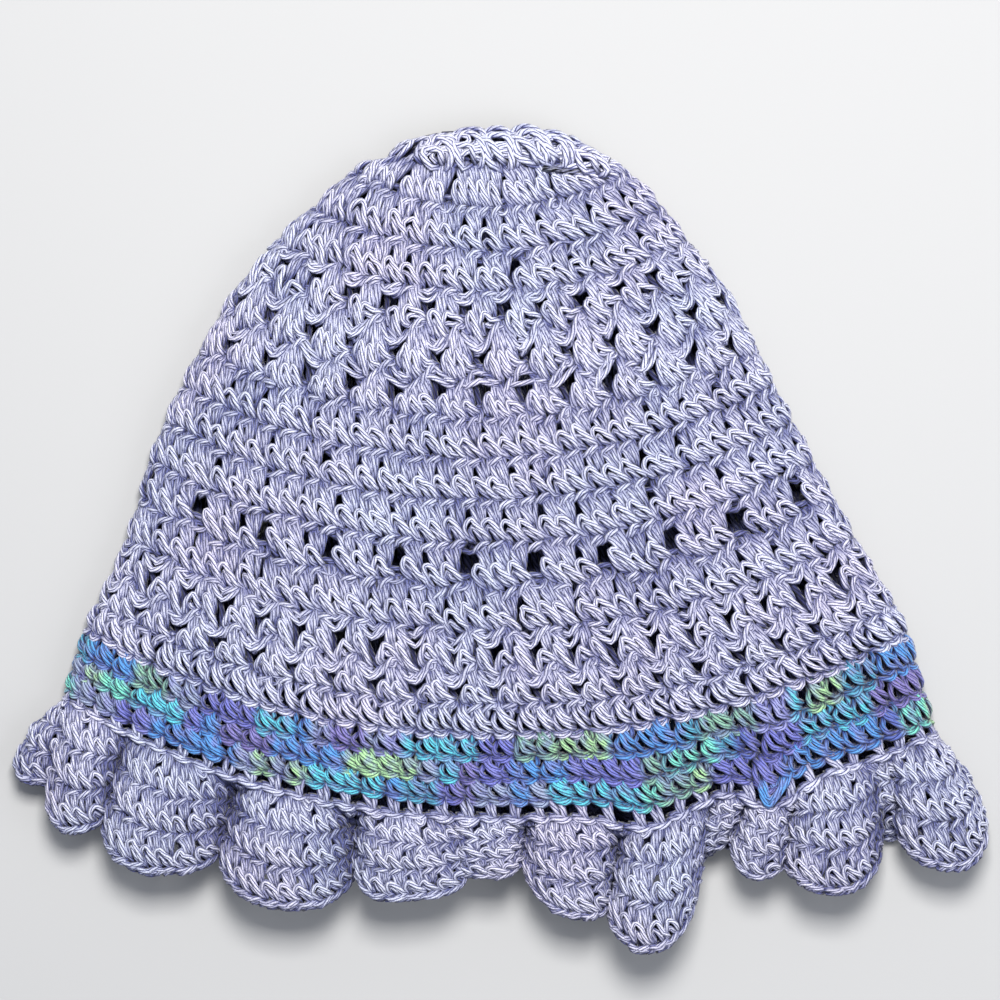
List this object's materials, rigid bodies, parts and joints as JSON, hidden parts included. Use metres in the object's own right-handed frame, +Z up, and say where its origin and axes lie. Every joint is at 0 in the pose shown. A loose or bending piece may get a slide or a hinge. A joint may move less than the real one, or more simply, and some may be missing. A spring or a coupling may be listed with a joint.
{
  "type": "crochet bucket hat lying flat",
  "caption": "Crocheted bucket hat lying flat on its back, with a domed crown, a coloured band, an open mesh round and a ruffled brim of rounded lobes.",
  "frame": {"origin": "middle of the lying hat's outline, on the surface it lies on", "axes": "+X across the hat from left to right, +Y from the brim to the crown's top, +Z up from the surface"},
  "size_m": [0.3292, 0.2728, 0.0278],
  "materials": {
    "lilac_yarn": "matte crochet cotton",
    "variegated_yarn": "matte crochet cotton, variegated"
  },
  "bodies": {
    "root": {"crown": "lilac_yarn", "band": "variegated_yarn", "mesh_round": "lilac_yarn", "ruffle": "lilac_yarn"}
  },
  "joints": []
}
